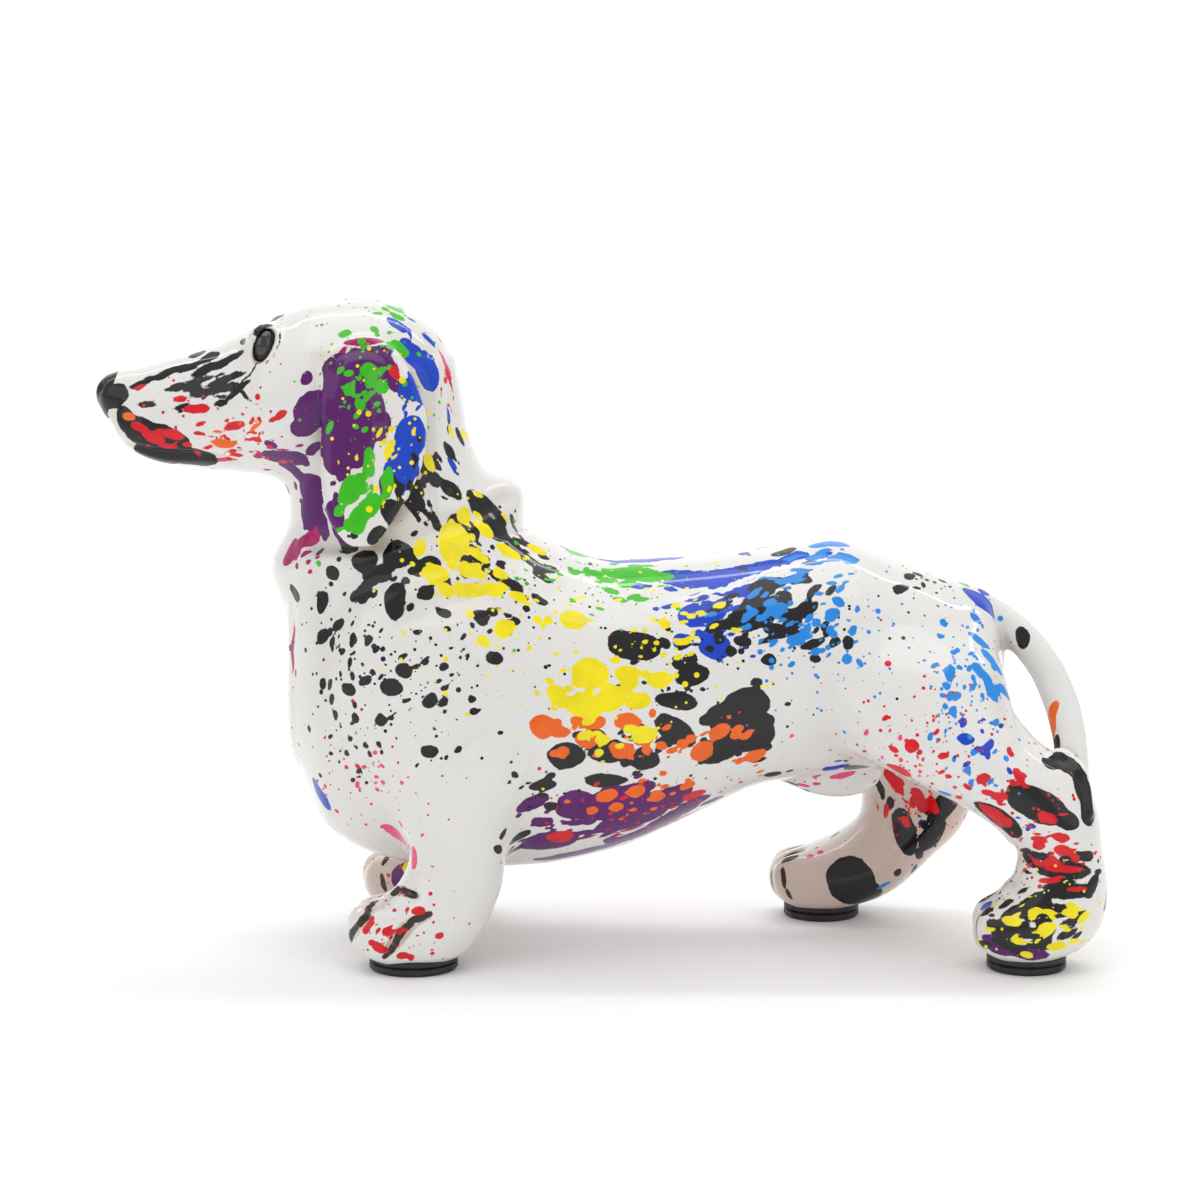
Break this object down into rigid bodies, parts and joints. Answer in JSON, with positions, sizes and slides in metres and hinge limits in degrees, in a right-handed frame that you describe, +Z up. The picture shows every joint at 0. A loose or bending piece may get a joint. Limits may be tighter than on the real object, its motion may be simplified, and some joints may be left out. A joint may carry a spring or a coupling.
{
  "type": "dog figurine",
  "caption": "Standing dachshund figurine in glazed ceramic, hollow cast, with hanging ears, a curved tail and rubber feet.",
  "frame": {"origin": "on the surface the dog stands on, in the middle of its box", "axes": "+Z up, the nose points to -X, the dog's left side faces -Y"},
  "size_m": [0.301, 0.0994, 0.1972],
  "materials": {
    "glazed_ceramic": "white glaze with splashed colours, high gloss",
    "eye_black": "black, high gloss",
    "pad_rubber": "satin black rubber"
  },
  "bodies": {
    "root": {"body": "glazed_ceramic", "head": "glazed_ceramic", "ear_left": "glazed_ceramic", "ear_right": "glazed_ceramic", "foreleg_left": "glazed_ceramic", "foreleg_right": "glazed_ceramic", "hind_leg_left": "glazed_ceramic", "hind_leg_right": "glazed_ceramic", "tail": "glazed_ceramic", "eye_left": "eye_black", "eye_right": "eye_black", "forefoot_left_pad": "pad_rubber", "forefoot_right_pad": "pad_rubber", "hind_foot_left_pad": "pad_rubber", "hind_foot_right_pad": "pad_rubber"}
  },
  "joints": []
}
